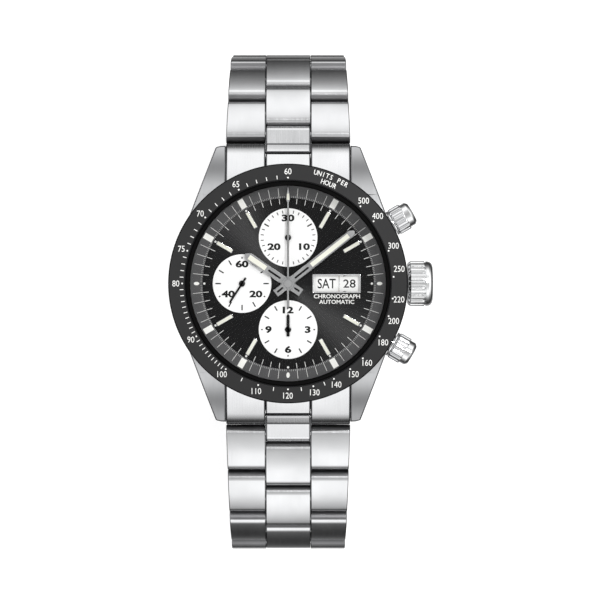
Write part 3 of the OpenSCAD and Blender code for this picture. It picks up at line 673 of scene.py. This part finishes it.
# Bezel ring and its insert
# A black coated steel ring pressed on the case, holding a conical insert of black anodised aluminium.
# The insert is printed in white with a scale of units per hour.
bezel_black = turned_metal("coated_bezel", (0.010, 0.010, 0.011), 0.26, 5.0, 0.04, 0.0006, 0.0, 0.1)
insert_black = turned_metal("anodised_insert", (0.013, 0.013, 0.0135), 0.42, 8.0, 0.05, 0.0012, 0.0, 0.3)
INSERT_IN, INSERT_OUT = 18.13, 20.84
INSERT_HIGH, INSERT_LOW = 12.55, 11.4
outline = [[17.95, 9.62], [20.5, 9.62], [21.0, 10.1], [21.0, 11.3], [20.92, 11.4], [20.87, 10.98],
           [18.1, 11.98], [18.1, 12.5], [17.95, 12.5]]
points, faces = turned(outline, 200)
ring = mesh_piece("bezel_turned_ring", points, faces, bezel_black, "head", ["bezel_ring"])
round_edges(ring, 0.05, 2)
points, faces = turned([[INSERT_IN, 12.02], [INSERT_OUT, 11.03], [INSERT_OUT, INSERT_LOW],
                        [INSERT_IN, INSERT_HIGH]], 200)
ring = mesh_piece("bezel_insert_ring", points, faces, insert_black, "head", ["bezel_insert"])
round_edges(ring, 0.05, 2)


def on_insert(points, lift=0.004):
    """Lays flat printing on the cone: the height falls evenly from the inner edge to the outer."""
    points = np.array(points, float)
    reach = np.hypot(points[:, 0], points[:, 1])
    slope = (INSERT_HIGH - INSERT_LOW) / (INSERT_OUT - INSERT_IN)
    points[:, 2] += INSERT_HIGH - slope * (reach - INSERT_IN) + lift
    return points


def rate_angle(rate):
    """Clock angle at which the seconds hand stands when a unit has taken 3600 / rate seconds."""
    return 3600 / rate * 6


RATES = [60, 65, 70, 75, 80, *range(90, 161, 10), 180, 200, 220, 250, 300, 400, 500]
# Clock degrees from a rate's spot to the middle of its figure, where the two differ
FIGURE_SHIFT = {500: -0.8, 400: -1.0, 300: -1.7, 250: -3.9, 200: 1.5, 180: 1.7}
figures = [(str(n), 1.12, 0.86, 0.0, at_clock(rate_angle(n) + FIGURE_SHIFT.get(n, 0), 19.62), 0)
           for n in RATES]
UNIT_WORDS_AT = 22.3
for text, reach, advance in (("UNITS PER", 20.05, 0.72), ("HOUR", 18.85, 0.74)):
    for i, letter in enumerate(text):
        turn = UNIT_WORDS_AT + math.degrees((i - (len(text) - 1) / 2) * advance / reach)
        if letter != " ":
            figures.append((letter, 0.9, 0.84, 0.012, at_clock(turn, reach), turn))
fine_rates = [n for n in range(61, 100) if n not in RATES] + [105, 115, 125, 135]
tick_rows = [(rate_angle(n), 18.3, 18.95, 0.13) for n in fine_rates]
spot_rows = [(rate_angle(n), 18.5, 0.15, 0.15) for n in RATES]
points, faces = together(words(figures), strokes(tick_rows, 2), dots(spot_rows))
mesh_piece("bezel_print", on_insert(points), faces, white_ink, "head")

# Crystal and its gasket
# Sapphire with a slightly domed top and a polished chamfer, pressed into a black nylon ring that shows
# as the dark band inside the bezel.
glass = bpy.data.materials.new("sapphire")
glass.use_nodes = True
tree = glass.node_tree
shader = tree.nodes["Principled BSDF"]
shader.inputs["Base Color"].default_value = (0.015, 0.017, 0.02, 1)
shader.inputs["Roughness"].default_value = 0.02
shader.inputs["IOR"].default_value = 1.6
sheen = tree.nodes.new("ShaderNodeFresnel")
sheen.inputs["IOR"].default_value = 1.25
film = tree.nodes.new("ShaderNodeMapRange")
film.inputs["To Min"].default_value = 0.01
film.inputs["To Max"].default_value = 0.22
tree.links.new(sheen.outputs["Fac"], film.inputs["Value"])
tree.links.new(film.outputs["Result"], shader.inputs["Alpha"])
CRYSTAL_TOP = 13.5
DOME_REACH = 16.8
DOME_RISE = 0.7
DOME_R = (DOME_REACH ** 2 + DOME_RISE ** 2) / (2 * DOME_RISE)
dome = [[r, CRYSTAL_TOP - DOME_R + math.sqrt(DOME_R ** 2 - r * r)] for r in np.linspace(DOME_REACH, 0, 15)]
points, faces = turned([[0, 9.95], [17.1, 9.95], [17.1, 12.5]] + dome, 160, False)
mesh_piece("crystal_dome", points, faces, glass, "head", ["crystal"])
outline = [[17.13, 9.9], [17.9, 9.9], [17.9, 12.3], [17.8, 12.4], [17.25, 12.4], [17.13, 12.3]]
points, faces = turned(outline, 160)
nylon = turned_metal("gasket_nylon", (0.002, 0.002, 0.002), 0.6, 6.0, 0.06, 0.001, 0.0, 0.04)
mesh_piece("crystal_gasket_ring", points, faces, nylon, "head", ["crystal_gasket"])

# Crown and keyless works
# A turned steel crown with 18 deep rounded flutes, a groove and a smooth domed end, bored at the back
# for its tube. Its stem passes through the tube to the setting lever.
CONTROL_Z = 5.6
CROWN_FLUTES = 18


def along(outline, step):
    """Adds evenly spaced points along each side of an outline, keeping its corners."""
    outline = np.asarray(outline, float)
    run = np.concatenate([[0], np.cumsum(np.hypot(*np.diff(outline, axis=0).T))])
    fine = np.unique(np.concatenate([run, np.arange(0, run[-1], step)]))
    return np.stack([np.interp(fine, run, outline[:, 0]), np.interp(fine, run, outline[:, 1])], -1)


def fluted(outline, flutes, depth, span, low_r, closed, per_flute=14):
    """Carries an outline of (place, radius) round +X. Beyond low_r the radius dips flutes times a turn:
    by depth times a raised cosine cubed, fading out at both ends of span."""
    outline = np.asarray(outline, float)
    count = flutes * per_flute
    a = np.linspace(0, 2 * np.pi, count, endpoint=False)[:, None]
    place, r = outline[None, :, 0], outline[None, :, 1]
    fade = np.clip((place - span[0]) / 0.3, 0, 1) * np.clip((span[1] - place) / 0.5, 0, 1)
    r = r - depth * (0.5 + 0.5 * np.cos(flutes * a)) ** 3 * np.sqrt(fade) * (r > low_r)
    points = np.stack([place + 0 * a, r * np.cos(a), r * np.sin(a)], -1)
    return points.reshape(-1, 3), grid_faces(count, len(outline), True, closed)


def turned_along(outline, sides, closed=False):
    """Carries an outline of (place, radius) round +X with no flutes."""
    return fluted(outline, 1, 0.0, (0, 0), 0, closed, sides)


def round_the_case(points, side_angle):
    """Lifts a piece built round +X to the height of the controls and turns it round the case."""
    points = np.asarray(points, float) + [0, 0, CONTROL_Z]
    return turn_points(points, -side_angle)


crown_steel = metal("crown_steel", BRIGHT_STEEL, 0.15, (3000, 600, 600), 0.05, 0.0008)
back_bore = [[24.42, 0], [24.42, 0.58], [22.6, 0.58], [22.6, 1.54], [21.05, 1.54]]
grip = [[21.05, 3.45], [21.16, 3.7], [21.5, 3.96], [21.7, 4.0], [24.0, 4.0], [24.08, 3.8], [24.22, 3.8]]
crown_end = [[24.3, 3.97], [24.8, 3.9], [25.15, 3.72], [25.38, 3.42], [25.5, 3.0], [25.55, 2.4], [25.55, 0]]
points, faces = fluted(along(back_bore + grip + crown_end, 0.16), CROWN_FLUTES, 0.34, (21.0, 24.15),
                       2.9, False)
mesh_piece("crown_fluted", round_the_case(points, 0), faces, crown_steel, "crown",
           ["crown"], 50)
finish_node("stem", polished)
finish_node("crown_tube", polished)
finish_node("setting_lever", brushed)
ease_node("crown_tube", 0.05, 2)

# Pushers
# Each pusher slides in a screwed tube against a spring. A fluted collar screws down behind its cap to
# lock it, and the cap is smooth with a wide chamfer.
COLLAR_FLUTES = 14
cap_steel = metal("cap_steel", BRIGHT_STEEL, 0.12, (1200, 1200, 1200), 0.03, 0.0004)
collar_steel = metal("collar_steel", STEEL, 0.16, (3000, 800, 800), 0.05, 0.0008)
for title, side in (("start", 30), ("reset", -30)):
    outline = [[16.1, 0], [16.1, 0.8], [19.42, 0.8], [19.42, 0.5], [23.0, 0.5], [23.0, 2.05], [23.1, 2.15],
               [24.78, 2.15], [24.88, 2.1], [25.2, 1.78], [25.26, 1.7], [25.33, 0.9], [25.35, 0]]
    points, faces = turned_along(outline, 64)
    cap = mesh_piece("pusher_cap_" + title, round_the_case(points, side), faces, cap_steel,
                     "pusher_" + title, ["pusher_" + title], 25)
    round_edges(cap, 0.03, 2, -1, 40)
    outline = [[21.55, 1.54], [21.55, 2.2], [21.62, 2.32], [21.8, 2.43], [21.95, 2.45], [23.6, 2.45],
               [23.76, 2.43], [23.85, 2.35], [23.85, 2.21], [21.9, 2.21], [21.9, 1.54], [21.55, 1.54]]
    points, faces = fluted(along(outline, 0.12)[:-1], COLLAR_FLUTES, 0.2, (21.5, 23.95), 2.3, True)
    mesh_piece("lock_collar_" + title + "_fluted", round_the_case(points, side), faces, collar_steel,
               "lock_collar_" + title, ["lock_collar_" + title], 50)
finish_node("pusher_tubes", polished)
ease_node("pusher_tubes", 0.06, 2)
finish_node("pusher_springs", metal("spring_steel", STEEL, 0.3, (900, 900, 900)))

# End links and lug spring bars
# A solid steel end link fills the space between each pair of lugs, brushed like the bracelet, with fine
# grooves that carry the three-row pattern up to the case. Spring bars hold it in the lugs.
end_link_brushed_shaded = metal("end_link_brushed_shaded", STEEL, 0.24, LENGTHWISE, 0.06, 0.0008)
# Painted shade: the end links darken to 0.25 of their colour in a band about 24.7 mm out along Y, except
# within 4.1 mm of the middle.
dull_along_lugs(end_link_brushed_shaded, 0.0247, 0.0018, 0.25, 0.0041)
for side in ("12", "6"):
    finish_node("end_link_" + side, end_link_brushed_shaded, eased)
    ease_node("end_link_" + side, 0.24, 3, EDGE_SLOT)
finish_node("lug_spring_bars", polished)

# Bracelet rows
# Each row is two outer links and a centre link on a fixed pin, hinged to the row before it on another.
# The links are drawn bar, crowned on top, brushed lengthwise, with eased edges and rounded ends.
PITCH = 8.5
LINK_HALF = 1.4
LINK_REACH = 1.375
LINK_RUN = 8.25
CENTRE_START = 1.625
LINK_SHADE_LEAN = 0.75
CENTRE_HALF = 4.0
SIDE_GAP = 0.05
LINK_NOSE = 1.5
LINK_HEEL = 0.8
LINK_END_SLOPE = math.radians(9)
PIN_R = 0.5
PIN_PROUD = 0.02
WIDTH_LUG, WIDTH_CLASP = 22.0, 18.0
LAST_SLOPE = 152
joint = {j["name"]: np.array(j.get("pos_m", (0, 0, 0))) / MM for j in frame["joints"]}
link_steel = metal("link_steel", STEEL, 0.2, LENGTHWISE, 0.05, 0.0008)
# Painted shade: a dark copy of the steel for the link faces turned towards the neighbouring rows, standing
# in for the shade in the gaps between rows.
link_flank_shade = metal("link_flank_shade", (0.19, 0.19, 0.195), 0.36, (2400, 2400, 2400), 0.06, 0.001)


def link_outline(first, last):
    """Side view of a link as (along, outward) points: a top that falls as the square of the distance
    from its middle to a slope of LINK_END_SLOPE, round noses that carry on from it, and a flat
    underside with its own round corners."""
    half = (last - first) / 2 - LINK_NOSE * (1 - math.sin(LINK_END_SLOPE))
    middle = (first + last) / 2
    fall = half * math.tan(LINK_END_SLOPE) / 2
    u = np.linspace(-half, half, 13)
    top = np.stack([middle + u, LINK_HALF - fall * (u / half) ** 2], -1)
    turn = np.linspace(math.pi / 2 - LINK_END_SLOPE, 0, 10)
    high = LINK_HALF - fall - LINK_NOSE * math.cos(LINK_END_SLOPE)
    nose = np.stack([last - LINK_NOSE + LINK_NOSE * np.cos(turn), high + LINK_NOSE * np.sin(turn)], -1)
    turn = np.linspace(0, math.pi / 2, 6)
    heel = np.stack([last - LINK_HEEL + LINK_HEEL * np.cos(turn), LINK_HEEL - LINK_HALF
                     - LINK_HEEL * np.sin(turn)], -1)
    right = np.vstack([nose[1:], heel])
    left = right[::-1] * [-1, 1] + [2 * middle, 0]
    return np.vstack([top, right, left])


def link(first, last, inner, outer_first, outer_last):
    """A link in its row's frame of (across, along, outward): its outline carried from across = inner to
    an outer face that leans in evenly along the link."""
    outline = link_outline(first, last)
    n = len(outline)
    u, v = outline[:, 0], outline[:, 1]
    outer = outer_first + (outer_last - outer_first) * (u - first) / (last - first)
    start = np.stack([np.full(n, inner), u, v], -1)
    end = np.stack([outer, u, v], -1)
    faces = [list(q) for q in grid_faces(2, n, False, True)]
    faces += [list(range(n)), list(range(n, 2 * n))[::-1]]
    return np.vstack([start, end]), faces


def pin(place, half_length, radius=PIN_R):
    """A round pin across the row with softly domed ends."""
    shape = [[-half_length, 0], [-half_length + 0.02, 0.6 * radius], [-half_length + 0.1, radius],
             [half_length - 0.1, radius], [half_length - 0.02, 0.6 * radius], [half_length, 0]]
    points, faces = turned_along(shape, 20)
    return points + [0, place, 0], faces


def half_width(k, n):
    """Half the bracelet's width after k of a strand's n rows."""
    return (WIDTH_LUG + (WIDTH_CLASP - WIDTH_LUG) * k / n) / 2


for side, count, mirror in (("12", 7, 1), ("6", 8, -1)):
    hinges = [joint["hinge_%s_%d" % (side, k + 1)] for k in range(count)]
    if side == "12":
        hinges.append(joint["clasp_cover_hinge"])
    else:
        a = math.radians(LAST_SLOPE)
        hinges.append(hinges[-1] + PITCH * np.array([0, mirror * math.cos(a), -math.sin(a)]))
    for k in range(count):
        title = "link_%s_%d" % (side, k + 1)
        run = (hinges[k + 1] - hinges[k]) / PITCH
        out = np.array([0, -mirror * run[2], mirror * run[1]])
        axes = np.array([[1, 0, 0], run, out])
        w0, w1 = half_width(k, count), half_width(k + 1, count)
        taper = (w0 - w1) / PITCH
        first, last = -LINK_REACH, LINK_RUN - LINK_REACH
        right = link(first, last, CENTRE_HALF + SIDE_GAP, w0 - taper * first, w0 - taper * last)
        left = (right[0] * [-1, 1, 1], right[1])
        centre = link(CENTRE_START, CENTRE_START + LINK_RUN, -CENTRE_HALF, CENTRE_HALF, CENTRE_HALF)
        tail = w1 + PIN_PROUD
        if k == count - 1:
            tail = w1 - 0.1 if side == "12" else CENTRE_HALF
        pins = together(pin(PITCH / 2, (w0 + w1) / 2 + PIN_PROUD), pin(PITCH, tail))
        for part, (points, faces) in (("outer_right", right), ("outer_left", left), ("centre", centre)):
            piece = mesh_piece(title + "_" + part, points @ axes + hinges[k], faces, link_steel, title,
                               [title])
            piece.data.materials.append(eased)
            # Painted shade: faces leaning towards the next or previous row take the dark flank finish.
            piece.data.materials.append(link_flank_shade)
            give_flanks(piece, lean_of_faces(piece, run) > LINK_SHADE_LEAN)
            round_edges(piece, 0.14, 3, EDGE_SLOT, 50)
        mesh_piece(title + "_pins", pins[0] @ axes + hinges[k], pins[1], polished, title,
                   [title])

# Folding clasp
# Three pressed steel bands that lie one over another: a cover with side walls, and two blades that fold
# out on their pins. Two spring buttons in the cover's walls release the catch.
clasp_brushed = metal("clasp_brushed", STEEL, 0.25, (240, 6500, 6500), 0.08)
finish_node("clasp_cover", brushed, polished)
finish_node("clasp_outer_blade", clasp_brushed, polished)
finish_node("clasp_inner_blade", clasp_brushed, polished)
ease_node("clasp_cover", 0.14, 2, EDGE_SLOT)
# Held back, because with a full rounding the cover's side walls touch the buttons
node["clasp_cover"].modifiers["rounding"].use_clamp_overlap = True
ease_node("clasp_outer_blade", 0.08, 2, EDGE_SLOT)
ease_node("clasp_inner_blade", 0.08, 2, EDGE_SLOT)
for side in ("left", "right"):
    finish_node("clasp_button_" + side, polished)
    ease_node("clasp_button_" + side, 0.12, 3)

# Studio
# A pale table under a tent, leaning a little towards 12 o'clock, that is bright halfway up, duller
# overhead and dark below the table's edge, and one soft lamp on the upper right. The camera looks
# straight down on the dial.
FLOOR_GAP = 0.0005
SPAN = 3.0
floor_z = cad_box[0][2] - FLOOR_GAP
table_mesh = bpy.data.meshes.new("table")
table_mesh.from_pydata([(-SPAN, -SPAN, floor_z), (SPAN, -SPAN, floor_z), (SPAN, SPAN, floor_z),
                        (-SPAN, SPAN, floor_z)], [], [(0, 1, 2, 3)])
table = bpy.data.objects.new("table", table_mesh)
bpy.context.scene.collection.objects.link(table)
table.visible_glossy = False
paper = metal("table_paper", (0.62, 0.62, 0.62), 0.8, (300, 300, 300), 0.05, 0.004, 0.0)
paper_shader = paper.node_tree.nodes["Principled BSDF"]
paper_shader.inputs["Emission Color"].default_value = (1, 1, 1, 1)
paper_shader.inputs["Emission Strength"].default_value = 0.55
table_mesh.materials.append(paper)

world = bpy.data.worlds.new("tent")
bpy.context.scene.world = world
world.use_nodes = True
tree = world.node_tree
backdrop = tree.nodes["Background"]
direction = tree.nodes.new("ShaderNodeTexCoord")
TENT_TILT = math.radians(7)
height = tree.nodes.new("ShaderNodeVectorMath")
height.operation = "DOT_PRODUCT"
height.inputs[1].default_value = (0, math.sin(TENT_TILT), math.cos(TENT_TILT))
spread = tree.nodes.new("ShaderNodeMapRange")
spread.inputs["From Min"].default_value = -1.0
spread.inputs["From Max"].default_value = 1.0
tent = tree.nodes.new("ShaderNodeValToRGB")
TENT_TONES = [(-90, 0.5), (-64, 0.4), (-46, 0.06), (-35, 0.04), (-25, 0.07), (-15, 0.14), (-4, 0.3),
              (3, 0.46), (13, 0.92), (21, 1.28), (32, 1.45), (43, 1.42), (53, 1.0), (66, 0.72), (80, 0.56),
              (90, 0.5)]
tones = tent.color_ramp.elements
for elevation, value in TENT_TONES[1:-1]:
    tones.new((1 + math.sin(math.radians(elevation))) / 2)
for stop, (elevation, value) in zip(tones, TENT_TONES):
    stop.color = (value, value, value, 1)
tree.links.new(direction.outputs["Generated"], height.inputs[0])
tree.links.new(height.outputs["Value"], spread.inputs["Value"])
tree.links.new(spread.outputs["Result"], tent.inputs["Fac"])
tree.links.new(tent.outputs["Color"], backdrop.inputs["Color"])
seen = tree.nodes.new("ShaderNodeLightPath")
wall = tree.nodes.new("ShaderNodeBackground")
wall.inputs["Color"].default_value = (1, 1, 1, 1)
either = tree.nodes.new("ShaderNodeMixShader")
tree.links.new(seen.outputs["Is Camera Ray"], either.inputs["Fac"])
tree.links.new(backdrop.outputs["Background"], either.inputs[1])
tree.links.new(wall.outputs["Background"], either.inputs[2])
tree.links.new(either.outputs["Shader"], tree.nodes["World Output"].inputs["Surface"])
bpy.context.scene.view_settings.view_transform = "Standard"

LAMP_DISTANCE = 0.9
LAMP_AT = LAMP_DISTANCE * np.array([0.265, 0.265, 0.927])
lamp_data = bpy.data.lights.new("soft_lamp", "AREA")
lamp_data.shape = "DISK"
lamp_data.size = 0.16
lamp_data.energy = 3.0
lamp = bpy.data.objects.new("soft_lamp", lamp_data)
bpy.context.scene.collection.objects.link(lamp)
lamp.location = LAMP_AT
lamp.rotation_euler = (math.radians(22), 0, math.radians(135))

VIEW_WIDTH = 0.105
VIEW_DISTANCE = 0.600
VIEW_CENTRE = (0.0021, -0.00289)
BEZEL_PLANE = 0.0116
SENSOR = 36
camera_data = bpy.data.cameras.new("camera")
camera_data.sensor_width = SENSOR
camera_data.lens = SENSOR * VIEW_DISTANCE / VIEW_WIDTH
camera_data.clip_start = 0.01
camera = bpy.data.objects.new("camera", camera_data)
bpy.context.scene.collection.objects.link(camera)
camera.location = (*VIEW_CENTRE, BEZEL_PLANE + VIEW_DISTANCE)
bpy.context.scene.camera = camera
